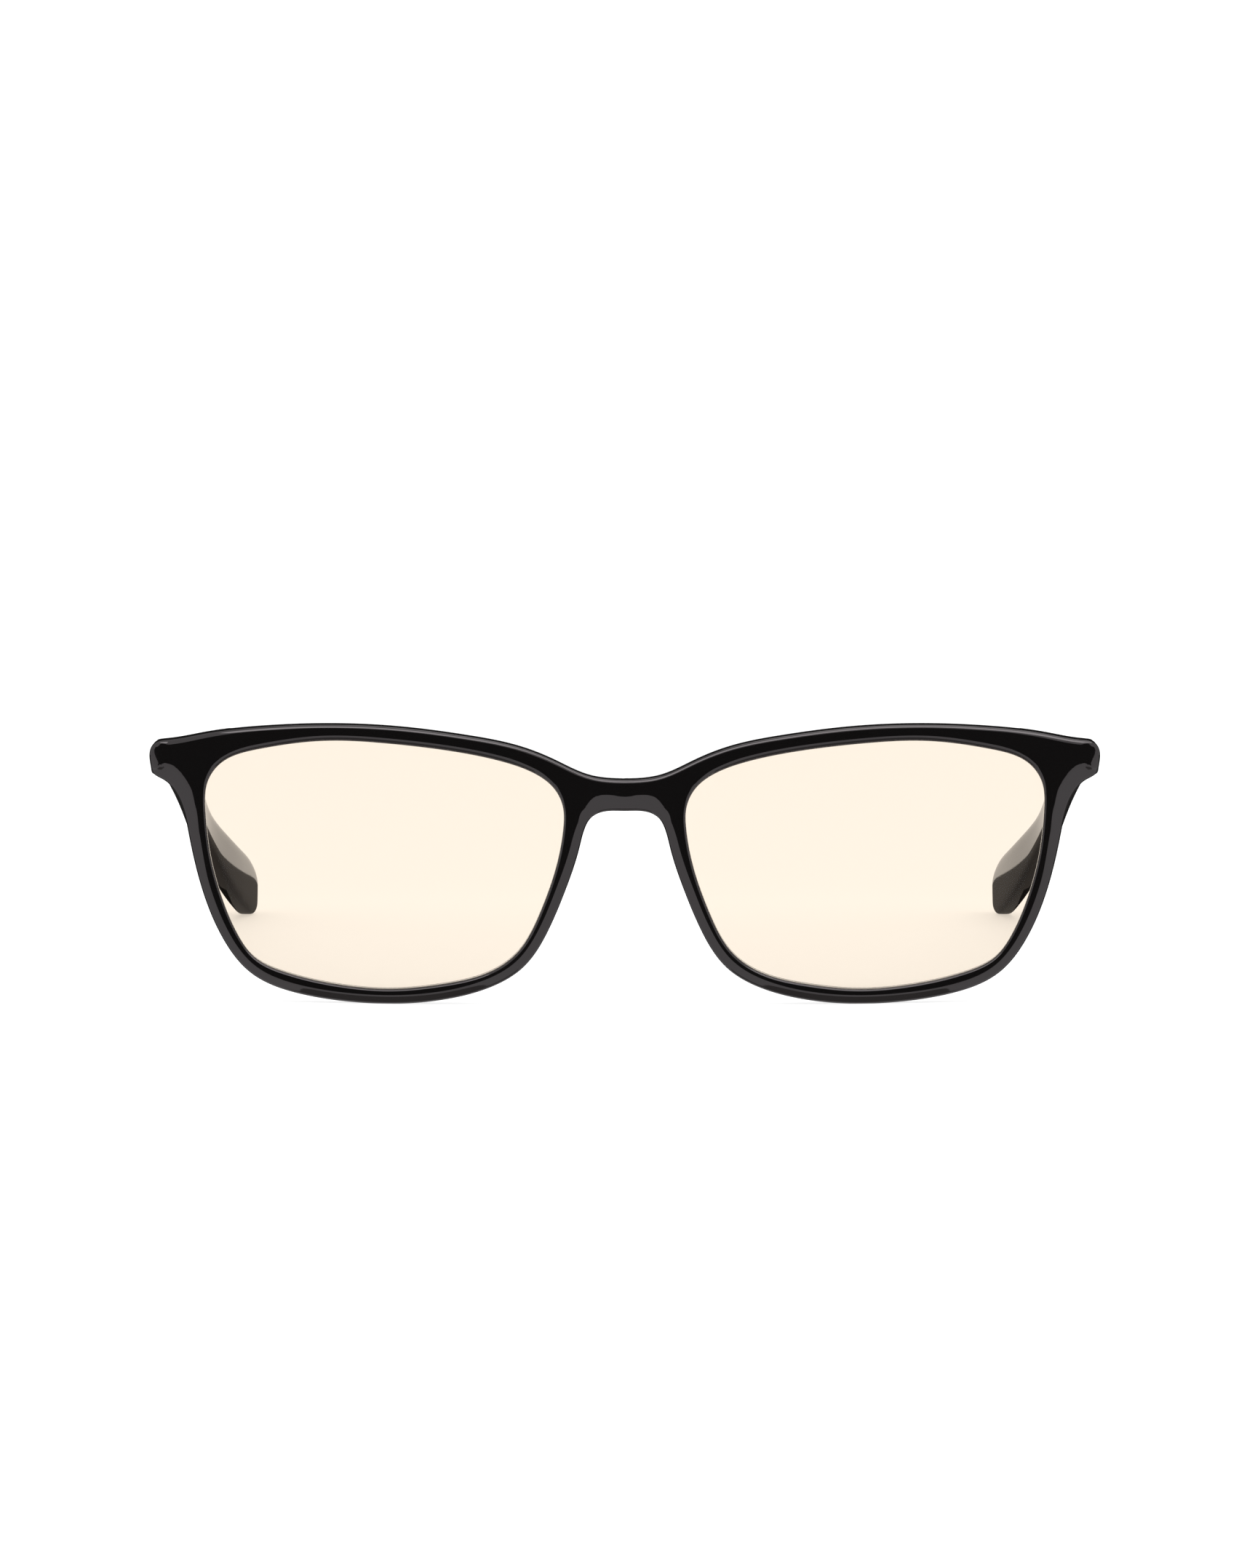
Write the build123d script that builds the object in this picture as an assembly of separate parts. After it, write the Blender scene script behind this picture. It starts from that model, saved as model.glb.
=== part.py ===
from build123d import *
import os
from math import cos, radians, sin, sqrt

os.makedirs("parts", exist_ok=True)

# Millimetres. X runs to the viewer's right, Y runs back from the front, Z is up.
# The glasses stand open on a table: rim bottoms and temple tips are at Z = 0.

# Driving dimensions
WRAP_R = 290.0          # radius of the front's curve seen from above
FRONT_T = 3.8           # thickness of the front
SLOPE = 7.0             # fall of the temples towards the tips, degrees
LENS_R = 220.0          # spherical radius of a lens
LENS_T = 1.8            # lens thickness
LENS_SET = 0.7          # lens front surface behind the front's surface
TONGUE = 0.7            # height of the ridge round a lens
TONGUE_T = 0.8          # thickness of that ridge
SEAT_GAP = 0.05         # play of the lens in its groove
BUTT = 0.80             # hinge axis to the joint between front and temple
BUTT_GAP = 0.10         # gap in that joint
PIVOT = (63.40, 18.90, 35.20)
BARREL_R = 1.15
PIN_R = 0.60
PIN_GAP = 0.05
LEAF = (0.40, 1.30)     # hinge leaf, inner and outer face from the axis
BARREL_TOP = 2.10       # half height of the hinge
KNUCKLE = 0.65          # half height of the middle barrel
WASHER = (0.67, 0.83)   # washer's two faces from the middle of the hinge
FRONT_ROUND = 0.7       # rounding of the front's edges
TEMPLE_ROUND = 1.0      # rounding of a temple's long edges
CORE_R = 0.6            # radius of the steel core in a temple
HEAD_R = 0.90           # hinge screw head
HEAD_T = 0.35
FRONT_SCREWS = (-5.9, -3.3)    # along the temple from the hinge axis
TEMPLE_SCREWS = (4.2, 7.8)
DEPTH_MID = 77.2        # middle of the whole depth, which becomes Y = 0

# Half outline of the front, from the middle of the bridge's top edge over the
# brow, round the end piece and the rim, to the middle of the bridge's underside.
OUTLINE = [
    (0.0, 33.1), (5.0, 33.6), (10.0, 35.75), (15.1, 37.75), (22.8, 39.35), (33.1, 40.6),
    (43.3, 40.95), (53.6, 40.45), (61.4, 39.45), (67.2, 38.35), (69.05, 37.65), (69.45, 36.7),
    (69.55, 33.9), (69.0, 32.9), (67.3, 31.75), (65.9, 30.2), (64.9, 27.9), (64.1, 24.4),
    (62.25, 16.7), (59.2, 9.2), (55.0, 4.25), (47.5, 1.25), (40.0, 0.18), (33.0, 0.0),
    (26.5, 0.65), (20.2, 2.3), (14.9, 5.4), (11.0, 11.2), (8.6, 16.9), (6.6, 23.0),
    (5.8, 25.9), (4.9, 27.4), (3.4, 28.2), (0.0, 28.4),
]

# Lens opening of the same half, starting at the top.
OPENING = [
    (43.5, 38.45), (34.9, 38.15), (26.5, 37.25), (17.9, 35.6), (13.4, 34.0), (10.4, 31.8),
    (9.0, 28.9), (8.95, 26.0), (10.0, 20.2), (12.4, 13.4), (15.6, 7.7), (19.2, 4.9),
    (26.4, 2.8), (34.0, 2.0), (42.0, 2.55), (49.8, 4.2), (54.6, 6.3), (57.2, 9.8),
    (59.6, 15.6), (61.1, 21.6), (61.8, 28.0), (61.4, 32.2), (59.3, 35.0), (53.6, 37.2),
]

# Side view of a temple behind the joint, as (Y, Z): underside, tip, top.
TEMPLE_SIDE = [
    (16.0, 33.15), (50.0, 28.8), (80.0, 23.6), (98.0, 19.4), (112.0, 14.6), (124.0, 9.3),
    (136.0, 4.3), (146.0, 1.1), (150.2, 0.15), (152.4, 0.25), (154.0, 1.6), (154.4, 3.9),
    (153.5, 6.2), (150.6, 8.2), (140.0, 11.6), (126.0, 15.6), (112.0, 20.0), (98.0, 25.0),
    (80.0, 28.9), (50.0, 33.7), (16.0, 37.85),
]

# View of a temple from above, as (Y, X) of its middle line, and its thickness.
TEMPLE_BOW = [
    (16.0, 67.05), (50.0, 67.5), (80.0, 67.8), (98.0, 67.7), (112.0, 67.0), (125.0, 65.3),
    (138.0, 63.4), (150.0, 61.9), (156.0, 61.2),
]
TEMPLE_T = [4.7, 3.9, 3.4, 3.2, 3.1, 3.0, 3.0, 3.0, 3.0]

# Middle line of a temple's steel core, as (X, Y, Z).
CORE_LINE = [
    (67.2, 32.0, 33.3), (67.65, 65.0, 28.8), (67.7, 98.0, 22.2), (65.4, 124.0, 12.7),
    (62.6, 144.5, 6.1),
]


def shell(radius, near, far, centre):
    """Spherical shell about centre, between near and far behind its front point."""
    outer = Sphere(radius - near)
    inner = Sphere(radius - far)
    return Pos(*centre) * (outer - inner)


def prism(face, start, depth):
    """Carry a face drawn in (X, Z) back along Y from start over depth."""
    plane = Plane(origin=(0, start, 0), x_dir=(1, 0, 0), z_dir=(0, -1, 0))
    return extrude(plane * face, amount=-depth)


def wrap_y(x):
    """Depth of the front's surface at x."""
    return WRAP_R - sqrt(WRAP_R**2 - x**2)


def front_slab(near, far):
    """Curved slab of the front between two depths behind its surface."""
    outer = Cylinder(WRAP_R - near, 60)
    inner = Cylinder(WRAP_R - far, 61)
    return Pos(0, WRAP_R, 20) * (outer - inner)


def loop(points, growth=0.0):
    """Face inside a smooth closed curve, its points moved outwards by growth."""
    moved = []
    for i, (x, z) in enumerate(points):
        before = points[i - 1]
        after = points[(i + 1) % len(points)]
        run = (after[0] - before[0], after[1] - before[1])
        scale_by = growth / sqrt(run[0] ** 2 + run[1] ** 2)
        moved.append((x + run[1] * scale_by, z - run[0] * scale_by))
    return make_face(Spline(*moved, periodic=True))


def mirrored(shape):
    """The same shape on the other side of the bridge."""
    return mirror(shape, about=Plane.YZ)


def export(shape, name):
    """Write one sub-part with the origin moved under the middle of the whole."""
    export_step(Pos(0, -DEPTH_MID, 0) * shape, f"parts/{name}.step")


# Hinge coordinates: X as above, Y along the temple, Z up the hinge axis.
tilt = radians(SLOPE)
hinge = Plane(origin=PIVOT, x_dir=(1, 0, 0), z_dir=(0, sin(tilt), cos(tilt)))


def block(x0, x1, y0, y1, z0, z1):
    """Box between limits given in hinge coordinates."""
    box = Box(x1 - x0, y1 - y0, z1 - z0)
    middle = Pos((x0 + x1) / 2, (y0 + y1) / 2, (z0 + z1) / 2)
    return hinge.location * middle * box


def barrel(radius, z0, z1):
    """Cylinder on the hinge axis between two heights."""
    return hinge.location * Pos(0, 0, (z0 + z1) / 2) * Cylinder(radius, z1 - z0)


def cross_cylinder(radius, x0, x1, y, z=0.0):
    """Cylinder along X at a place given in hinge coordinates."""
    middle = Pos((x0 + x1) / 2, y, z)
    return hinge.location * middle * Rot(0, 90, 0) * Cylinder(radius, x1 - x0)


# Front frame: one moulding with two rims, a bridge and two end pieces.
half_edge = Spline(*OUTLINE, tangents=[(1, 0), (-1, 0)])
bridge_line = Line(OUTLINE[-1], OUTLINE[0])
half_face = make_face(half_edge + bridge_line)
half_body = prism(half_face, -2, 18) & front_slab(0, FRONT_T)
front = half_body + mirrored(half_body)
wing_top = Polyline(
    (69.5, wrap_y(69.5) + 1.0),
    (69.5, 22.0),
    (PIVOT[0] + LEAF[1], 22.0),
    (PIVOT[0] + LEAF[1], 11.4),
    (60.5, wrap_y(60.5) + FRONT_T - 0.6),
    close=True,
)
wing = extrude(Pos(0, 0, 33.1) * make_face(wing_top), amount=4.1)
beyond_joint = block(-20, 20, -BUTT - BUTT_GAP / 2, 20, -20, 20)
wing = wing - beyond_joint

# Lenses: each a shallow spherical shell with a ridge round it.
lens_middle = (35.4, 20.2)
wrap_angle = lens_middle[0] / WRAP_R
lens_centre = (
    lens_middle[0] - LENS_R * wrap_angle,
    wrap_y(lens_middle[0]) + LENS_SET + LENS_R * sqrt(1 - wrap_angle**2),
    lens_middle[1],
)
opening = loop(OPENING)
seat = loop(OPENING, TONGUE + SEAT_GAP)
ridge_face = loop(OPENING, TONGUE)
lens_face = loop(OPENING, -SEAT_GAP)
mid = LENS_T / 2
groove_half = TONGUE_T / 2 + SEAT_GAP
groove = prism(seat, -2, 20) & shell(LENS_R, mid - groove_half, mid + groove_half, lens_centre)
ridge = prism(ridge_face, -2, 20) & shell(LENS_R, mid - TONGUE_T / 2, mid + TONGUE_T / 2, lens_centre)
glass = prism(lens_face, -2, 20) & shell(LENS_R, 0, LENS_T, lens_centre)
lens = glass + ridge

# Nose pads: half ellipsoids glued behind the nasal side of each rim.
pad_body = scale(Sphere(1), by=(1.0, 6.2, 6.6))
pad_body = Pos(9.5, FRONT_T, 17.2) * Rot(0, -21, 0) * pad_body
nose_pad = pad_body & front_slab(FRONT_T, FRONT_T + 20)

# Temple: side view and top view outlines, carried through each other.
side_line = Spline(*TEMPLE_SIDE)
side_end = Line(TEMPLE_SIDE[-1], TEMPLE_SIDE[0])
side_face = Plane.YZ * make_face(side_line + side_end)
side_body = extrude(Pos(55, 0, 0) * side_face, amount=20)
outer_points = [(x + t / 2, y) for (y, x), t in zip(TEMPLE_BOW, TEMPLE_T)]
inner_points = [(x - t / 2, y) for (y, x), t in zip(TEMPLE_BOW, TEMPLE_T)]
front_line = Line(inner_points[0], outer_points[0])
rear_line = Line(outer_points[-1], inner_points[-1])
top_face = make_face(Spline(*outer_points) + Spline(*inner_points) + front_line + rear_line)
top_body = extrude(Pos(0, 0, -5) * top_face, amount=50)
temple = side_body & top_body
temple = temple - block(-20, 20, -20, -BUTT + BUTT_GAP / 2, -20, 20)
long_edges = [edge for edge in temple.edges() if edge.length > 100]
temple = fillet(long_edges, radius=TEMPLE_ROUND)

# Steel core moulded into each temple.
core_path = Spline(*CORE_LINE)
core_start = Plane(origin=core_path @ 0, z_dir=core_path % 0)
core = sweep(core_start * Circle(CORE_R), path=core_path)
temple = temple - core

# Front frame: lens openings and grooves cut, end pieces added, edges rounded.
openings = prism(opening, -2, 20)
front = front - openings - mirrored(openings)
front_edges = [
    edge
    for edge in front.edges()
    if edge.length > 20 and abs(edge.center().X) < 60
]
front = fillet(front_edges, radius=FRONT_ROUND)
front = front + wing + mirrored(wing)
front = front - groove - mirrored(groove)

# Hinge leaf on the front: plate, and two barrels joined to it.
leaf_in, leaf_out = LEAF
front_leaf = block(leaf_in, leaf_out, -7.2, -1.4, -BARREL_TOP, BARREL_TOP)
for low, high in [(-BARREL_TOP, -WASHER[1]), (WASHER[1], BARREL_TOP)]:
    front_leaf += block(leaf_in, BARREL_R, -1.5, 0, low, high)
    front_leaf += barrel(BARREL_R, low, high)
upper_hole = barrel(PIN_R + PIN_GAP, 0, 3)
lower_hole = barrel(PIN_R, -3, 0)
head_seat = barrel(HEAD_R, BARREL_TOP - HEAD_T, 3)
front_leaf = front_leaf - upper_hole - lower_hole - head_seat

# Hinge leaf on the temple: plate, and the middle barrel.
temple_leaf = block(leaf_in, leaf_out, 1.4, 9.6, -1.8, 1.8)
temple_leaf += block(leaf_in, BARREL_R, 0, 1.5, -KNUCKLE, KNUCKLE)
temple_leaf += barrel(BARREL_R, -KNUCKLE, KNUCKLE)
temple_leaf = temple_leaf - barrel(PIN_R + PIN_GAP, -1, 1)

# Hinge screw: shank on the axis, flat head sunk in the top barrel.
hinge_screw = barrel(PIN_R, -BARREL_TOP, BARREL_TOP) + barrel(HEAD_R, BARREL_TOP - HEAD_T, BARREL_TOP)
hinge_screw = hinge_screw - block(-2, 2, -0.1, 0.1, BARREL_TOP - 0.15, 3)

# Washers between the barrels.
washer_gap = 0.01
lower_washer = barrel(BARREL_R, -WASHER[1] + washer_gap, -WASHER[0])
lower_washer = lower_washer - barrel(PIN_R + PIN_GAP, -1, 0)
upper_washer = barrel(BARREL_R, WASHER[0], WASHER[1] - washer_gap)
upper_washer = upper_washer - barrel(PIN_R + PIN_GAP, 0, 1)


def leaf_screw(y):
    """Countersunk screw through a leaf into the plastic behind it."""
    head = cross_cylinder(0.75, leaf_in, leaf_in + 0.35, y)
    shank = cross_cylinder(0.4, leaf_in + 0.3, leaf_in + 3.4, y)
    slot = block(leaf_in - 1, leaf_in + 0.15, y - 0.09, y + 0.09, -2, 2)
    return head + shank - slot


def screw_hole(y):
    """Room for such a screw."""
    head = cross_cylinder(0.75, leaf_in - 1, leaf_in + 0.35, y)
    shank = cross_cylinder(0.4, leaf_in, leaf_in + 3.4, y)
    return head + shank


for y in FRONT_SCREWS:
    hole = screw_hole(y)
    front_leaf = front_leaf - hole
    front = front - hole - mirrored(hole)
for y in TEMPLE_SCREWS:
    hole = screw_hole(y)
    temple_leaf = temple_leaf - hole
    temple = temple - hole
front_screws = [leaf_screw(y) for y in FRONT_SCREWS]
temple_screws = [leaf_screw(y) for y in TEMPLE_SCREWS]

export(front, "front_frame")
pairs = {
    "lens": [lens],
    "nose_pad": [nose_pad],
    "front_leaf": [front_leaf],
    "temple_leaf": [temple_leaf],
    "hinge_screw": [hinge_screw],
    "hinge_washers": [lower_washer, upper_washer],
    "front_leaf_screws": front_screws,
    "temple_leaf_screws": temple_screws,
    "temple": [temple],
    "temple_core": [core],
}
for name, shapes in pairs.items():
    others = [mirrored(shape) for shape in shapes]
    export(Compound(children=shapes) if len(shapes) > 1 else shapes[0], name + "_right")
    export(Compound(children=others) if len(shapes) > 1 else others[0], name + "_left")
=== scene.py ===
from math import cos, radians, sin

import bmesh
import bpy
import numpy as np
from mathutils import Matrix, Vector


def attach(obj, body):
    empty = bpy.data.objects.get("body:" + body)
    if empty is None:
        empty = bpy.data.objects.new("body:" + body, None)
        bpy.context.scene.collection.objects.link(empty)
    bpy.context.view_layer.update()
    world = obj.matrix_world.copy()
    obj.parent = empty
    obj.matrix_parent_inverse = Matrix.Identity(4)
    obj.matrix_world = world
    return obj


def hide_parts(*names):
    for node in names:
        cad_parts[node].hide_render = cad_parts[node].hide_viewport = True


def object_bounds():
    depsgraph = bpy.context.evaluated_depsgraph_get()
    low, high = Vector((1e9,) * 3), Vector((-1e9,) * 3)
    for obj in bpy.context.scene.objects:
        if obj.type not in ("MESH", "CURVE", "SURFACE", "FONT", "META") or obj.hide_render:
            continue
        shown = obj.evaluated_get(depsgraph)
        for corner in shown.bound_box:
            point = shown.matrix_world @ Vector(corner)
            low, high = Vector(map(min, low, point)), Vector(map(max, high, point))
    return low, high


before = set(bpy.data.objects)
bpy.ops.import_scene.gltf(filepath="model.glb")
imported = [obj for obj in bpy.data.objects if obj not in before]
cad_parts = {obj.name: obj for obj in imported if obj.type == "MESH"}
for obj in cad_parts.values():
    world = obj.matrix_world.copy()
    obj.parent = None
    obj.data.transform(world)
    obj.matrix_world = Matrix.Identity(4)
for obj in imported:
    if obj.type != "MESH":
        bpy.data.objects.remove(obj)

cad_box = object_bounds()
MM = 0.001
FRONT_Y = cad_box[0].y / MM          # the front's foremost point, in mm
SIDES = ((-1, "left"), (1, "right"))


# ---------------------------------------------------------------- camera
# A long lens on a tripod, a little above the table and square to the front.
# It looks slightly down, so that the tips of the temples show through the
# lenses.
STAND_OFF = 1.250        # metres in front of the bridge
CAMERA_HEIGHT = 0.124    # metres above the table
CAMERA_SIDE = 0.0004     # metres right of the middle
LOOK_DOWN = 4.19         # degrees
SENSOR_WIDTH = 36.0      # mm
FOCAL_LENGTH = 197.6     # mm
camera_data = bpy.data.cameras.new("camera")
camera_data.sensor_width = SENSOR_WIDTH
camera_data.lens = FOCAL_LENGTH
camera_data.clip_end = 50.0
camera = bpy.data.objects.new("camera", camera_data)
camera.location = (CAMERA_SIDE, FRONT_Y * MM - STAND_OFF, CAMERA_HEIGHT)
camera.rotation_euler = (radians(90.0 - LOOK_DOWN), 0.0, 0.0)
bpy.context.scene.collection.objects.link(camera)
bpy.context.scene.camera = camera


# ---------------------------------------------------------------- studio
# White acrylic table lit from below, under soft white light. Glowing cards that only show in
# reflections paint the reflections on the glossy front: they keep it black and draw its edges. The
# table is left out of the reflections, so the cards reach below its level.
TABLE_HALF = 60.0        # metres: its edges lie far out of the picture
SOFT_LIGHT = 1.15        # strength of the white surroundings
BEHIND = 0.1             # depth of the cards behind the temple tips, in metres
BROW = 0.045             # height at which those cards meet, just above the front
EAR = 0.067              # half the gap between the two lower ones


def linear(code, alpha=1.0):
    """sRGB hex colour turned to linear red, green, blue, with alpha added."""
    parts = np.array([int(code[i:i + 2], 16) for i in (1, 3, 5)]) / 255.0
    curve = np.where(parts <= 0.04045, parts / 12.92, ((parts + 0.055) / 1.055) ** 2.4)
    return (*curve.tolist(), alpha)


def new_material(name):
    """A material by name, with its tree and its Principled shader."""
    material = bpy.data.materials.new(name)
    material.use_nodes = True
    tree = material.node_tree
    return material, tree, tree.nodes["Principled BSDF"]


def add_node(tree, kind, settings=None, **links):
    """Adds one node; settings are its attributes or input values by name, and
    links are input name to the output socket that feeds it."""
    node = tree.nodes.new(kind)
    for key, value in (settings or {}).items():
        if hasattr(node, key):
            setattr(node, key, value)
        else:
            node.inputs[key].default_value = value
    for key, source in links.items():
        tree.links.new(source, node.inputs[key.replace("_", " ")])
    return node


def plane_object(name, corners):
    """Flat four-cornered sheet."""
    mesh = bpy.data.meshes.new(name)
    mesh.from_pydata(corners, [], [(0, 1, 2, 3)])
    sheet = bpy.data.objects.new(name, mesh)
    bpy.context.scene.collection.objects.link(sheet)
    return sheet


def level(left, right, near, far, height):
    """Corners of a level rectangle, in metres."""
    return [(left, near, height), (right, near, height), (right, far, height), (left, far, height)]


def upright(left, right, depth, bottom, top):
    """Corners of an upright rectangle square to the camera, in metres."""
    return [(left, depth, bottom), (right, depth, bottom), (right, depth, top), (left, depth, top)]


acrylic, tree, shader = new_material("backlit_white_acrylic")
# Opal sheet: the light under it keeps shadows on it thin and pale.
shader.inputs["Base Color"].default_value = linear("#939392")
shader.inputs["Emission Color"].default_value = (1.0, 1.0, 1.0, 1.0)
shader.inputs["Emission Strength"].default_value = 0.8
shader.inputs["Roughness"].default_value = 0.6
shader.inputs["Specular IOR Level"].default_value = 0.2
table = plane_object("table", level(-TABLE_HALF, TABLE_HALF, -TABLE_HALF, TABLE_HALF, 0.0))
table.data.materials.append(acrylic)
table.visible_glossy = False


def reflection_card(name, corners, glow):
    """A card that only shows in reflections, as bright as glow: its glow is a painted reflection,
    lit by nothing.
    """
    reflection_paint, tree, shader = new_material(name + "_painted_reflection")
    shader.inputs["Base Color"].default_value = (0.0, 0.0, 0.0, 1.0)
    shader.inputs["Specular IOR Level"].default_value = 0.0
    shader.inputs["Emission Color"].default_value = (1.0, 0.96, 0.93, 1.0)
    shader.inputs["Emission Strength"].default_value = glow
    card = plane_object(name, corners)
    card.data.materials.append(reflection_paint)
    card.visible_camera = False
    card.visible_diffuse = False
    card.visible_transmission = False
    card.visible_shadow = False


# Painted reflections: the flag paints a dark front, card_low a grey reflection low in front for
# the lower edges, and the three cards behind a dark back along the brow and the temples.
reflection_card("flag", upright(-1.0, 1.0, -1.6, -0.28, 1.1), 0.02)
reflection_card("card_low", level(-0.6, 0.6, -0.9, -0.2, -1.0), 0.4)
# card_below paints the table in shade under the temple tips, which their undersides reflect: a
# painted shade seen in reflection.
reflection_card("card_below", level(-0.5, 0.5, -0.05, 0.5, -0.03), 0.18)
reflection_card("card_above", upright(-0.5, 0.5, BEHIND, BROW, 0.6), 0.02)
reflection_card("card_left", upright(-0.5, -EAR, BEHIND, -0.1, BROW), 0.02)
reflection_card("card_right", upright(EAR, 0.5, BEHIND, -0.1, BROW), 0.02)

world = bpy.data.worlds.new("studio")
bpy.context.scene.world = world
world.use_nodes = True
world.node_tree.nodes["Background"].inputs["Color"].default_value = (1.0, 1.0, 1.0, 1.0)
world.node_tree.nodes["Background"].inputs["Strength"].default_value = SOFT_LIGHT


def soft_box(name, place, aim, width, depth, power):
    """Rectangular area light at place, turned towards aim, all in metres."""
    data = bpy.data.lights.new(name, "AREA")
    data.shape = "RECTANGLE"
    data.size, data.size_y = width, depth
    data.energy = power
    box = bpy.data.objects.new(name, data)
    box.location = place
    towards = Vector(aim) - Vector(place)
    box.rotation_euler = towards.to_track_quat("-Z", "Y").to_euler()
    bpy.context.scene.collection.objects.link(box)


soft_box("top_box", (0.3, 0.2, 1.5), (0, 0, 0), 1.2, 1.2, 6.0)
# A strip above the front draws the highlight along the brow.
soft_box("strip", (0.1, -0.65, 1.0), (0, -0.077, 0.04), 1.6, 0.35, 7.0)
bpy.context.scene.view_settings.view_transform = "Standard"


# ---------------------------------------------------------------- front frame
# One injection moulding in black nylon: two rims, the bridge and the end
# pieces. It curves round the face. Flat facets run along its outer and inner
# edges, and a groove inside each rim holds the lens.
# Lengths are in mm.
WRAP_R = 290.0              # radius of the curve round the face
FRONT_T = 3.8
EDGE_ROLL = (0.35, 0.35)    # width and depth of the rounding at the front edges
REAR_ROLL = (0.6, 0.6)      # and at the rear ones
EASE = 0.1                  # how softly a facet's crease turns
GROOVE = 0.73               # depth of the lens groove, and half its width
GROOVE_HALF = 0.45
PIVOT = (63.40, 18.90, 35.20)
SLOPE = radians(7.0)        # lean of the hinge axis
JOINT_FRONT = -0.85         # the joint's two faces, from the hinge axis
JOINT_REAR = -0.75
END_MIDDLE = (67.1, 35.15)  # middle line of the end piece, across and up
END_HALF = (2.38, 2.05)     # half its width and height
END_START = 9.2             # its front end, inside the rim
LENS_R = 220.0
LENS_T = 1.8
LENS_SET = 0.7              # how far the lens lies behind the rim's face
LENS_MIDDLE = (35.4, 20.2)
OUTLINE = [
    (0.0, 33.1), (5.0, 33.6), (10.0, 35.75), (15.1, 37.75), (22.8, 39.35), (33.1, 40.6),
    (43.3, 40.95), (53.6, 40.45), (61.4, 39.45), (67.0, 38.42), (68.8, 37.95), (69.45, 37.15),
    (69.5, 34.3), (69.3, 33.55), (67.6, 32.35), (65.85, 30.6), (64.7, 28.0), (63.9, 24.4),
    (62.05, 16.7), (58.95, 9.3), (54.9, 4.3), (47.5, 1.25), (40.0, 0.18), (33.0, 0.0),
    (26.5, 0.65), (20.2, 2.3), (14.9, 5.4), (11.0, 11.2), (8.6, 16.9), (6.6, 23.0),
    (5.8, 25.9), (4.9, 27.4), (3.4, 28.2), (0.0, 28.4),
]
OPENING = [
    (43.5, 38.45), (34.9, 38.15), (26.5, 37.25), (17.9, 35.6), (13.4, 34.0), (10.4, 31.8),
    (9.0, 28.9), (8.95, 26.0), (10.0, 20.2), (12.4, 13.4), (15.6, 7.8), (19.2, 5.1),
    (26.4, 3.05), (34.0, 2.25), (42.0, 2.8), (49.8, 4.5), (54.2, 6.6), (56.75, 10.0),
    (59.15, 15.7), (60.7, 21.6), (61.4, 28.0), (61.1, 32.1), (59.2, 34.9), (53.6, 37.1),
]
# Width of the facet at each outline point, and at each opening point.
OUTER_FACET = [
    0.65, 0.6, 0.6, 0.6, 0.6, 0.6, 0.6, 0.65, 0.7, 0.7, 0.4, 0.1, 0.9, 1.8, 2.4, 2.2, 1.8, 1.5,
    1.2, 1.2, 1.2, 1.2, 1.2, 1.2, 1.2, 1.25, 1.3, 1.3, 1.35, 1.35, 1.25, 1.6, 2.35, 1.95,
]
INNER_FACET = [
    0.7, 0.7, 0.7, 0.7, 0.6, 0.4, 0.25, 0.25, 0.25, 0.25, 0.3, 0.4, 0.4, 0.4, 0.4, 0.4, 0.35, 0.35,
    0.35, 0.35, 0.35, 0.35, 0.5, 0.65, 0.7,
]
# Slope of those facets, in degrees, at the same points.
OUTER_TILT = [30.0] * 10 + [26.0, 22.0] + [20.0] * 7
OUTER_TILT += [21.0, 24.0, 26.0, 27.0, 27.0, 26.0, 24.0, 21.0] + [20.0] * 7
INNER_TILT = [25.0] * len(INNER_FACET)
# For each outline point, the place on the opening that faces it, counted in
# opening points back from the top.
FACING = [
    4.9, 4.5, 4.0, 3.5, 2.45, 1.2, 0.0, -0.9, -1.7, -2.1, -2.3, -2.6, -2.9, -3.1, -3.3, -3.6, -4.0,
    -4.55, -5.8, -7.0, -8.0, -9.15, -10.2, -11.1, -12.0, -12.8, -13.7, -14.8, -15.65, -16.6,
    -17.1, -17.6, -17.9, -18.2,
]


def spline(points, start=None, end=None):
    """Cubic spline through the points, with its knots a chord length apart. It
    is closed if no end directions are given. Returns a function of the knot
    count: 2.5 is half way between the third point and the fourth."""
    p = np.array(points, float)
    closed = start is None
    if closed:
        p = np.vstack([p, p[:1]])
    h = np.linalg.norm(np.diff(p, axis=0), axis=1)
    n = len(p)
    rise = np.diff(p, axis=0) / h[:, None]
    a = np.zeros((n, n))
    b = np.zeros_like(p)
    rows = np.arange(1, n - 1)
    a[rows, rows - 1] = h[1:]
    a[rows, rows] = 2 * (h[1:] + h[:-1])
    a[rows, rows + 1] = h[:-1]
    b[rows] = 3 * (h[1:, None] * rise[:-1] + h[:-1, None] * rise[1:])
    if closed:
        a[0, 0] = 2 * (h[0] + h[-1])
        a[0, 1] = h[-1]
        a[0, n - 2] += h[0]
        b[0] = 3 * (h[0] * rise[-1] + h[-1] * rise[0])
        a[-1, 0], a[-1, -1] = 1, -1
    else:
        a[0, 0] = a[-1, -1] = 1
        b[0], b[-1] = start, end
    slope = np.linalg.solve(a, b)

    def at(knot):
        knot = np.asarray(knot, float)
        if closed:
            knot = np.mod(knot, n - 1)
        i = np.clip(np.floor(knot).astype(int), 0, n - 2)
        t = (knot - i)[..., None]
        step = h[i][..., None]
        return (
            p[i] * (1 + 2 * t) * (1 - t) ** 2
            + p[i + 1] * t * t * (3 - 2 * t)
            + slope[i] * step * t * (1 - t) ** 2
            - slope[i + 1] * step * t * t * (1 - t)
        )

    return at


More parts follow.
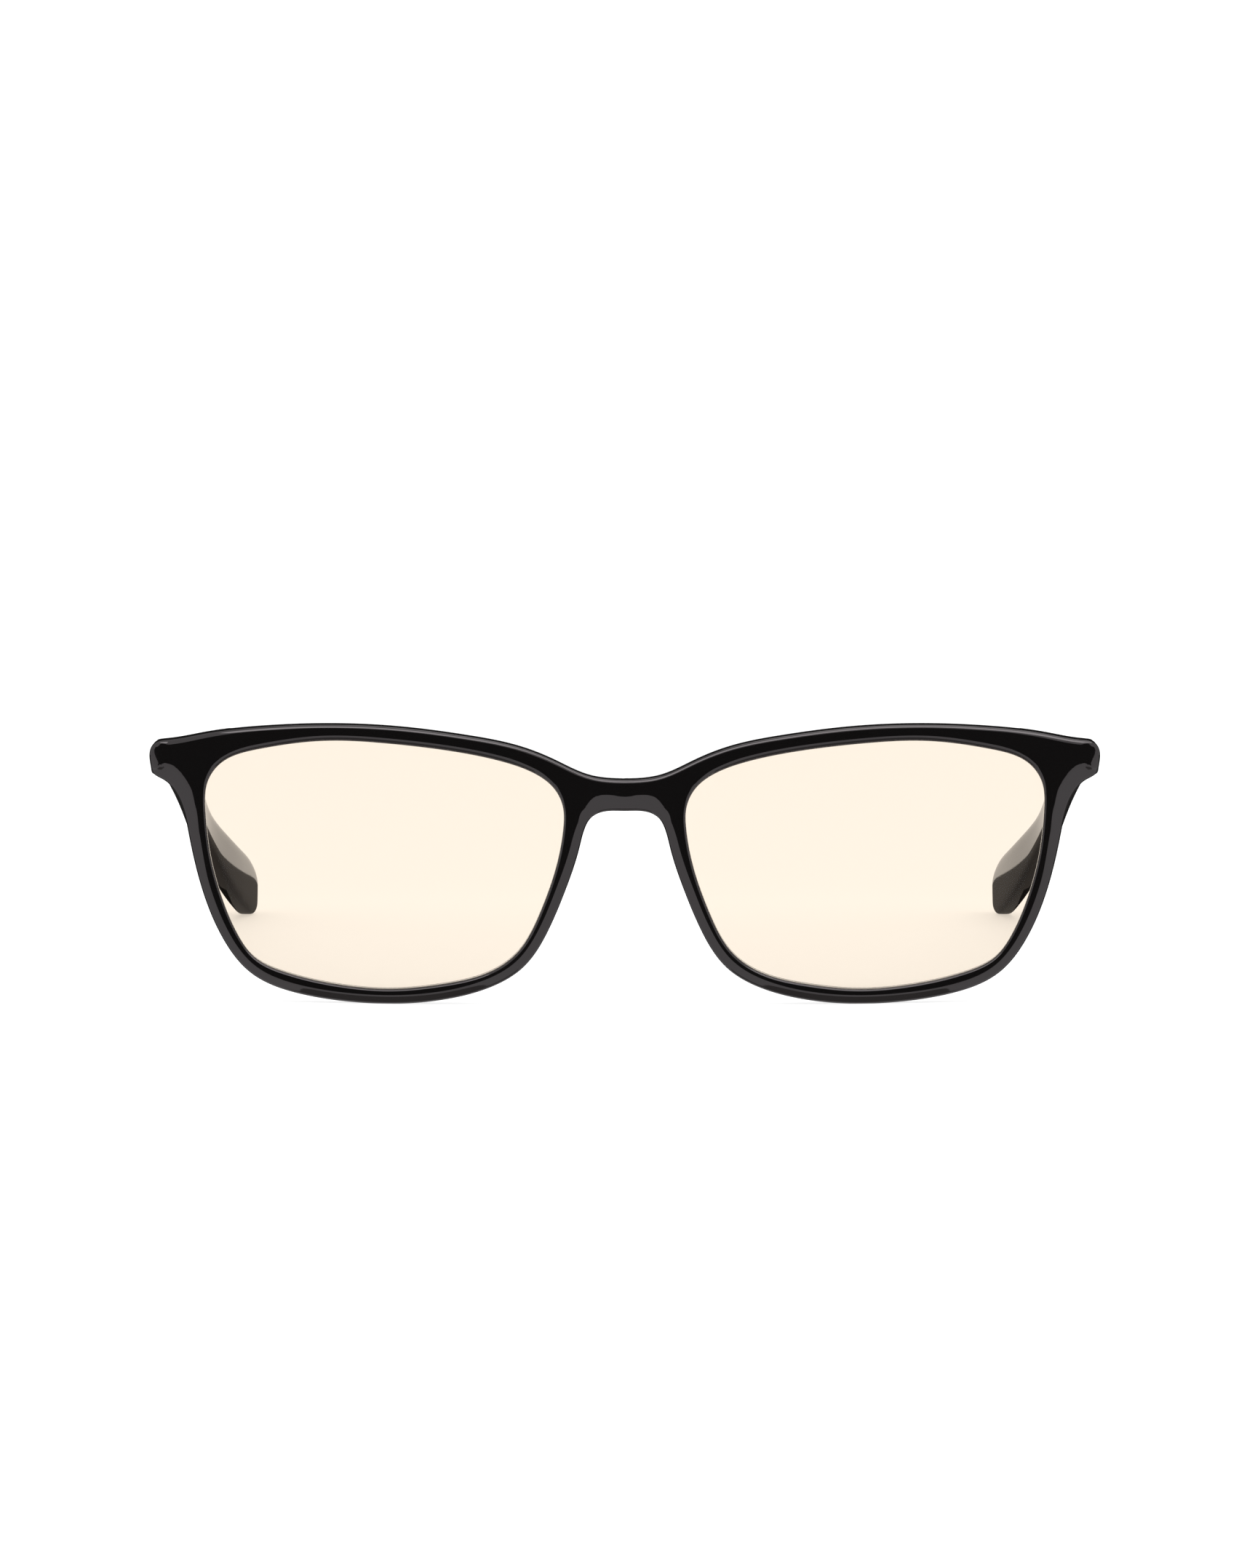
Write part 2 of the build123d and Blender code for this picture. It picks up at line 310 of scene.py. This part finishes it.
def edge_distance(x, z, edge):
    """Shortest distance from each point (x, z) to a line of edge points, and
    the place of the nearest spot as a share of the edge's samples. The points
    are taken in lots, to spare memory."""
    spot = np.stack([x.ravel(), z.ravel()], -1)
    out = np.zeros(len(spot))
    share = np.zeros(len(spot))
    a, b = edge[:-1], edge[1:]
    run = b - a
    size = np.maximum((run ** 2).sum(-1), 1e-12)
    for part in np.array_split(np.arange(len(spot)), 60):
        gap = spot[part, None] - a[None]
        t = np.clip((gap * run).sum(-1) / size, 0, 1)
        reach = np.sqrt(((gap - t[..., None] * run) ** 2).sum(-1))
        best = reach.argmin(1)
        rows = np.arange(len(part))
        out[part] = reach[rows, best]
        share[part] = (best + t[rows, best]) / len(a)
    return out.reshape(x.shape), share.reshape(x.shape)


def roll(distance, width, depth):
    """Drop of a rounded edge: a quarter ellipse, full at the edge and zero at
    width from it."""
    s = 1 - np.clip(distance / width, 0, 1)
    return depth * (1 - np.sqrt(np.clip(1 - s * s, 0, 1)))


def facet(distance, share, widths, tilts):
    """Drop of a facet: it grows in proportion to how far inside the facet's
    width a point lies, with the crease eased.
    Widths and tilts ease from one point of the edge to the next."""
    knots = np.arange(len(widths))
    place = share * knots[-1]
    part = place % 1
    place = place - part + part * part * (3 - 2 * part)
    width = np.interp(place, knots, widths)
    slope = np.tan(np.radians(np.interp(place, knots, tilts)))
    inside = width - distance
    return slope * (inside + np.sqrt(inside ** 2 + EASE ** 2)) / 2


def wrap_front(x):
    """Depth of the front's cylinder at x."""
    return WRAP_R - np.sqrt(WRAP_R ** 2 - x ** 2)


def wrap_rear(x):
    """Depth of the rear cylinder, on the same axis, at x."""
    return WRAP_R - np.sqrt((WRAP_R - FRONT_T) ** 2 - x ** 2)


def lens_depth(x, z, behind):
    """Depth of the sphere that lies behind the lens's front surface."""
    turn = LENS_MIDDLE[0] / WRAP_R
    cx = LENS_MIDDLE[0] - LENS_R * turn
    cy = wrap_front(LENS_MIDDLE[0]) + LENS_SET + LENS_R * np.sqrt(1 - turn ** 2)
    return cy - np.sqrt((LENS_R - behind) ** 2 - (x - cx) ** 2 - (z - LENS_MIDDLE[1]) ** 2)


def grid_part(x, y, z, wrap_u, wrap_v, skip=None):
    """Grid of points, in mm from the front, as points and four-sided faces.
    The first index runs along u and the second along v; wrap_u and wrap_v join
    the last row or column to the first. skip marks faces to leave out."""
    nu, nv = x.shape
    index = np.arange(nu * nv).reshape(nu, nv)
    a = index if wrap_u else index[:-1]
    b = np.roll(index, -1, 0) if wrap_u else index[1:]
    if wrap_v:
        quads = np.stack([a, b, np.roll(b, -1, 1), np.roll(a, -1, 1)], -1)
    else:
        quads = np.stack([a[:, :-1], b[:, :-1], b[:, 1:], a[:, 1:]], -1)
    if skip is not None:
        quads = quads[~skip]
    quads = quads.reshape(-1, 4)
    points = np.stack([x, y, z], -1).reshape(-1, 3)
    return points, quads


def build(name, parts, mirror=False, weld=1e-5, crisp=None):
    """One mesh object from (points, quads) parts in mm, with smooth faces that
    point outwards. mirror adds the same parts at -x. Edges that turn by more
    than crisp degrees stay sharp."""
    points, quads, base = [], [], 0
    sides = (1, -1) if mirror else (1,)
    for side in sides:
        for spots, faces in parts:
            points.append(spots * (side, 1, 1) + (0, FRONT_Y, 0))
            quads.append((faces if side > 0 else faces[:, ::-1]) + base)
            base += len(spots)
    mesh = bpy.data.meshes.new(name)
    mesh.from_pydata((np.vstack(points) * MM).tolist(), [], np.vstack(quads).tolist())
    shape = bmesh.new()
    shape.from_mesh(mesh)
    bmesh.ops.remove_doubles(shape, verts=shape.verts, dist=weld * MM)
    bmesh.ops.recalc_face_normals(shape, faces=shape.faces)
    shape.to_mesh(mesh)
    shape.free()
    mesh.polygons.foreach_set("use_smooth", np.ones(len(mesh.polygons), bool))
    if crisp:
        mesh.set_sharp_from_angle(angle=radians(crisp))
    mesh.update()
    piece = bpy.data.objects.new(name, mesh)
    bpy.context.scene.collection.objects.link(piece)
    return piece


outline_at = spline(OUTLINE, (1, 0), (-1, 0))
opening_at = spline(OPENING)
STEPS = 10
last = len(OUTLINE) - 1
edge_knots = np.linspace(0, last, last * STEPS + 1)
outer = outline_at(edge_knots)
facing = opening_at(np.interp(edge_knots, np.arange(last + 1), FACING))
# Across the bridge the grid ends on the middle plane and meets its mirror image.
rise = 0.5 - 0.5 * np.cos(np.linspace(0, np.pi, 30)[1:-1])
seam = np.stack([0 * rise, OUTLINE[-1][1] + (OUTLINE[0][1] - OUTLINE[-1][1]) * rise], -1)
seam_facing = opening_at(FACING[-1] + (FACING[0] - len(OPENING) - FACING[-1]) * rise)
outer = np.vstack([outer, seam])
facing = np.vstack([facing, seam_facing])
on_seam = np.arange(len(outer)) >= last * STEPS

# Steps across the rim: fine over the two rounded edges, even between them.
quarter = EDGE_ROLL[0] * (1 - np.cos(np.linspace(0, np.pi / 2, 6)))
span = np.linalg.norm(outer - facing, axis=1)[:, None]
inner_part = quarter[None] / span
outer_part = 1 - quarter[None, ::-1] / span
between = np.linspace(0, 1, 40)[None, 1:-1]
between = inner_part[:, -1:] + (outer_part[:, :1] - inner_part[:, -1:]) * between
across = np.hstack([inner_part, between, outer_part])
gx = facing[:, :1] + (outer[:, :1] - facing[:, :1]) * across
gz = facing[:, 1:] + (outer[:, 1:] - facing[:, 1:]) * across
outline_line = outline_at(np.linspace(0, last, last * 30 + 1))
from_outer, outer_share = edge_distance(gx, gz, outline_line)
opening_line = opening_at(np.linspace(0, len(OPENING), len(OPENING) * 30 + 1))
from_lens, lens_share = edge_distance(gx, gz, opening_line)
front_y = wrap_front(gx) + roll(from_outer, *EDGE_ROLL) + roll(from_lens, *EDGE_ROLL)
front_y += facet(from_outer, outer_share, OUTER_FACET, OUTER_TILT)
front_y += facet(from_lens, lens_share, INNER_FACET, INNER_TILT)
rear_y = wrap_rear(gx) - roll(from_outer, *REAR_ROLL) - roll(from_lens, *REAR_ROLL)

# The groove: four more points at the opening, out to its floor and back.
way = facing - np.array(LENS_MIDDLE)
tangent = np.roll(facing, -1, 0) - np.roll(facing, 1, 0)
normal = np.stack([-tangent[:, 1], tangent[:, 0]], -1)
size = np.maximum(np.linalg.norm(normal, axis=1, keepdims=True), 1e-9)
normal *= np.sign((normal * way).sum(-1, keepdims=True)) / size
floor_line = facing + normal * GROOVE
mid = LENS_T / 2
gx_groove = np.stack([facing[:, 0], floor_line[:, 0], floor_line[:, 0], facing[:, 0]], -1)
gz_groove = np.stack([facing[:, 1], floor_line[:, 1], floor_line[:, 1], facing[:, 1]], -1)
lip = mid + GROOVE_HALF * np.array([1, 1, -1, -1])
gy_groove = np.stack([lens_depth(gx_groove[:, i], gz_groove[:, i], lip[i]) for i in range(4)], -1)

loop_x = np.hstack([gx, gx[:, ::-1], gx_groove])
loop_y = np.hstack([front_y, rear_y[:, ::-1], gy_groove])
loop_z = np.hstack([gz, gz[:, ::-1], gz_groove])
count = gx.shape[1]
skip = np.zeros((len(outer), loop_x.shape[1]), bool)
both = on_seam & np.roll(on_seam, -1)
both[last * STEPS] = True
both[-1] = True
skip[both, count - 1] = True
rims = grid_part(loop_x, loop_y, loop_z, True, True, skip=skip)


def joint_y(z, along):
    """Depth at height z of the plane that lies along the temple's direction
    by so many mm from the hinge axis."""
    up = (z - PIVOT[2] + along * sin(SLOPE)) / cos(SLOPE)
    return PIVOT[1] + along * cos(SLOPE) + up * sin(SLOPE)


def rounded(count, power):
    """Superellipse |a|^n + |b|^n = 1 as two arrays round the section."""
    turn = np.linspace(0, 2 * np.pi, count, endpoint=False)
    c, s = np.cos(turn), np.sin(turn)
    return np.sign(c) * np.abs(c) ** (2 / power), np.sign(s) * np.abs(s) ** (2 / power)


# End piece behind the rim: a rounded bar that ends at the joint.
a, b = rounded(64, 6.0)
w = np.array([0, 0, 0.15, 0.3, 0.45, 0.6, 0.75, 0.9, 0.97, 1.0, 1.0])[:, None]
size = np.array([0, 1, 1, 1, 1, 1, 1, 1, 1, 0.93, 0.0])[:, None]
wing_x = END_MIDDLE[0] + a[None] * (END_HALF[0] * size)
wing_z = END_MIDDLE[1] + b[None] * (END_HALF[1] * size)
wing_y = END_START + (joint_y(wing_z, JOINT_FRONT) - END_START) * w
wing = grid_part(wing_x, wing_y, wing_z, False, True)

RIPPLE = 4.545              # mm from wave to wave
nylon, tree, shader = new_material("drum_polished_black_nylon")
# Jet black with a wet shine; the moulding leaves a slight ripple that bends
# the edges of the reflections.
shader.inputs["Base Color"].default_value = linear("#0B0A0A")
shader.inputs["Roughness"].default_value = 0.035
shader.inputs["IOR"].default_value = 1.52
shader.inputs["Specular Tint"].default_value = linear("#FFF6F9")
where = add_node(tree, "ShaderNodeTexCoord").outputs["Object"]
waves = {"Scale": 1 / (RIPPLE * MM), "Detail": 1.0}
ripple = add_node(tree, "ShaderNodeTexNoise", waves, Vector=where)
height = {"Strength": 0.12, "Distance": 0.02 * MM}
bump = add_node(tree, "ShaderNodeBump", height, Height=ripple.outputs["Fac"])
tree.links.new(bump.outputs["Normal"], shader.inputs["Normal"])

front = build("front_moulding", [rims, wing], mirror=True)
front.data.materials.append(nylon)
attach(front, "front")
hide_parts("front_frame")


# ---------------------------------------------------------------- lenses
# Cast polycarbonate blanks with a pale yellow filter dye, ground to the
# opening's shape with a ridge that snaps into the rim's groove.
RIDGE_HALF = 0.4
RIDGE_OUT = 0.70            # how far the ridge stands out of the edge
RIDGE_BEVEL = 0.1
LENS_CORNER = 30.0          # degrees: the rim of the lens stays a sharp corner
knots = np.linspace(0, len(OPENING), 360, endpoint=False)
edge = opening_at(knots)
run = np.roll(edge, -1, 0) - np.roll(edge, 1, 0)
out_way = np.stack([run[:, 1], -run[:, 0]], -1) / np.linalg.norm(run, axis=1, keepdims=True)
out_way *= np.sign((out_way * (edge - np.array(LENS_MIDDLE))).sum(-1, keepdims=True))
rings = np.linspace(0, 1, 14)
ring_list = [(r, 0.0, 0.0) for r in rings]
ring_list += [
    (1, 0.0, mid - RIDGE_HALF), (1, RIDGE_OUT, mid - RIDGE_HALF + RIDGE_BEVEL),
    (1, RIDGE_OUT, mid + RIDGE_HALF - RIDGE_BEVEL), (1, 0.0, mid + RIDGE_HALF),
]
ring_list += [(r, 0.0, LENS_T) for r in rings[::-1]]
lens_x, lens_z, lens_y = [], [], []
for r, grow, behind in ring_list:
    spot = np.array(LENS_MIDDLE) + (edge + out_way * grow - np.array(LENS_MIDDLE)) * r
    lens_x.append(spot[:, 0])
    lens_z.append(spot[:, 1])
    lens_y.append(lens_depth(spot[:, 0], spot[:, 1], behind))
lens_part = grid_part(np.array(lens_x), np.array(lens_y), np.array(lens_z), False, True)

polycarbonate, tree, shader = new_material("dyed_polycarbonate")
# Clear and thin: it only warms what is seen through it. The dark specular
# tint is the anti-reflection coating.
shader.inputs["Base Color"].default_value = linear("#E4D9CB")
shader.inputs["Roughness"].default_value = 0.0
shader.inputs["IOR"].default_value = 1.5
shader.inputs["Transmission Weight"].default_value = 1.0
shader.inputs["Specular Tint"].default_value = linear("#3E4A58")

for side, label in SIDES:
    points, quads = lens_part
    piece = build("lens_blank_" + label, [(points * (side, 1, 1), quads)], crisp=LENS_CORNER)
    piece.data.materials.append(polycarbonate)
    piece.visible_shadow = False
    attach(piece, "front")
    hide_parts("lens_" + label)


# ---------------------------------------------------------------- nose pads
# Small half-round pads in the same black nylon, glued behind the nasal side
# of each rim, so that the rims hide them from the front.
PAD_MIDDLE = (9.5, 17.2)    # across and up
PAD_HALF = (1.0, 6.6)       # half its width and length
PAD_BASE = FRONT_T + 0.1    # just inside the rim's rear face
PAD_RISE = 6.1
PAD_LEAN = radians(-21.0)
turn = np.linspace(0, 2 * np.pi, 48, endpoint=False)[None]
rise_up = np.linspace(0, np.pi / 2, 16)[:, None]
pad_a = PAD_HALF[0] * np.cos(rise_up) * np.cos(turn)
pad_b = PAD_HALF[1] * np.cos(rise_up) * np.sin(turn)
pad_y = PAD_BASE + PAD_RISE * np.sin(rise_up) + 0 * turn
pad_a = np.vstack([0 * pad_a[:1], pad_a])
pad_b = np.vstack([0 * pad_b[:1], pad_b])
pad_y = np.vstack([pad_y[:1], pad_y])
pad_x = PAD_MIDDLE[0] + pad_a * cos(PAD_LEAN) + pad_b * sin(PAD_LEAN)
pad_z = PAD_MIDDLE[1] - pad_a * sin(PAD_LEAN) + pad_b * cos(PAD_LEAN)
pad_part = grid_part(pad_x, pad_y, pad_z, False, True)
for side, label in SIDES:
    points, quads = pad_part
    piece = build("nose_rest_" + label, [(points * (side, 1, 1), quads)])
    piece.data.materials.append(nylon)
    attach(piece, "front")
    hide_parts("nose_pad_" + label)


# ---------------------------------------------------------------- hinges
# Stamped and turned stainless steel: two leaves with three barrels, thin
# nylon washers between them, and a slotted screw on the axis.
GRAIN = 0.1111              # mm between the marks left by tumbling
steel, tree, shader = new_material("tumbled_stainless_steel")
# Soft grey shine, broken up by a fine grain.
shader.inputs["Base Color"].default_value = linear("#B9B8B4")
shader.inputs["Metallic"].default_value = 1.0
where = add_node(tree, "ShaderNodeTexCoord").outputs["Object"]
marks = {"Scale": 1 / (GRAIN * MM), "Detail": 2.0}
grain = add_node(tree, "ShaderNodeTexNoise", marks, Vector=where)
shine = {"To Min": 0.2, "To Max": 0.38}
spread = add_node(tree, "ShaderNodeMapRange", shine, Value=grain.outputs["Fac"])
tree.links.new(spread.outputs["Result"], shader.inputs["Roughness"])

washer, tree, shader = new_material("natural_nylon")
# Milky off-white with a soft, waxy shine.
shader.inputs["Base Color"].default_value = linear("#DDDAD0")
shader.inputs["Roughness"].default_value = 0.45

STEEL_KINDS = (
    "front_leaf", "temple_leaf", "hinge_screw", "front_leaf_screws", "temple_leaf_screws",
    "temple_core",
)
for side, label in SIDES:
    for kind in STEEL_KINDS:
        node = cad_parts[kind + "_" + label]
        node.data.materials.clear()
        node.data.materials.append(steel)
    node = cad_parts["hinge_washers_" + label]
    node.data.materials.clear()
    node.data.materials.append(washer)


# ---------------------------------------------------------------- temples
# Black nylon moulded over a steel wire core. Each bar is flush with the end
# piece, thins along the shaft and widens again behind the ear bend.
TEMPLE_SIDE = [
    (16.0, 33.15), (50.0, 28.8), (80.0, 23.6), (98.0, 19.4), (112.0, 14.6), (124.0, 9.3),
    (136.0, 4.3), (146.0, 1.1), (150.2, 0.15), (152.4, 0.25), (154.0, 1.6), (154.4, 3.9),
    (153.5, 6.2), (150.6, 8.2), (140.0, 11.6), (126.0, 15.6), (112.0, 20.0), (98.0, 25.0),
    (80.0, 28.9), (50.0, 33.7), (16.0, 37.85),
]
TEMPLE_BOW = [
    (16.0, 67.05), (50.0, 67.5), (80.0, 67.8), (98.0, 67.7), (112.0, 67.0), (125.0, 65.3),
    (138.0, 63.4), (150.0, 61.9), (156.0, 61.2),
]
TEMPLE_T = [4.7, 3.9, 3.4, 3.2, 3.1, 3.0, 3.0, 3.0, 3.0]
TIP = 10.7                  # the tip, counted in points of the side view
TIP_ROUND = 1.4
side_at = spline(TEMPLE_SIDE, (0.993, -0.119), (-0.993, 0.119))
bow_at = spline([(y, x) for y, x in TEMPLE_BOW], (1.0, 0.0), (0.993, -0.116))
bow_samples = bow_at(np.linspace(0, len(TEMPLE_BOW) - 1, 400))
last_knot = len(TEMPLE_SIDE) - 1
closing = 1 - 0.07 * np.cos(np.linspace(0, np.pi / 2, 40))
along = np.unique(np.concatenate([np.linspace(0, 0.93, 150), closing]))
low = side_at(TIP * along)
high = side_at(last_knot - (last_knot - TIP) * along)
middle = (low + high) / 2
half = (high - low) / 2
a, b = rounded(56, 5.0)
ty = middle[:, :1] + half[:, :1] * b
tz = middle[:, 1:] + half[:, 1:] * b
thick = np.interp(ty, [p[0] for p in TEMPLE_BOW], TEMPLE_T)
to_tip = np.linalg.norm(middle - side_at(TIP), axis=1)[:, None]
blunt = np.sqrt(np.clip(1 - np.clip(1 - to_tip / TIP_ROUND, 0, 1) ** 2, 0, 1))
tx = np.interp(ty, bow_samples[:, 0], bow_samples[:, 1]) + thick / 2 * blunt * a
# Everything ahead of the joint plane is pressed onto it, and closed on a pole.
limit = joint_y(tz, JOINT_REAR)
ahead = ty < limit
ty = np.where(ahead, limit, ty)
keep = ~ahead.all(1)
first = np.argmax(keep) - 1
tx, ty, tz = tx[first:], ty[first:], tz[first:]
pole = (tx[0].mean(), joint_y(tz[0].mean(), JOINT_REAR), tz[0].mean())
tx, ty, tz = (np.vstack([spot + 0 * line[0], line]) for spot, line in zip(pole, (tx, ty, tz)))
temple_part = grid_part(tx, ty, tz, False, True)
for side, label in SIDES:
    points, quads = temple_part
    piece = build("temple_bar_" + label, [(points * (side, 1, 1), quads)])
    piece.data.materials.append(nylon)
    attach(piece, "temple_arm_" + label)
    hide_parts("temple_" + label)
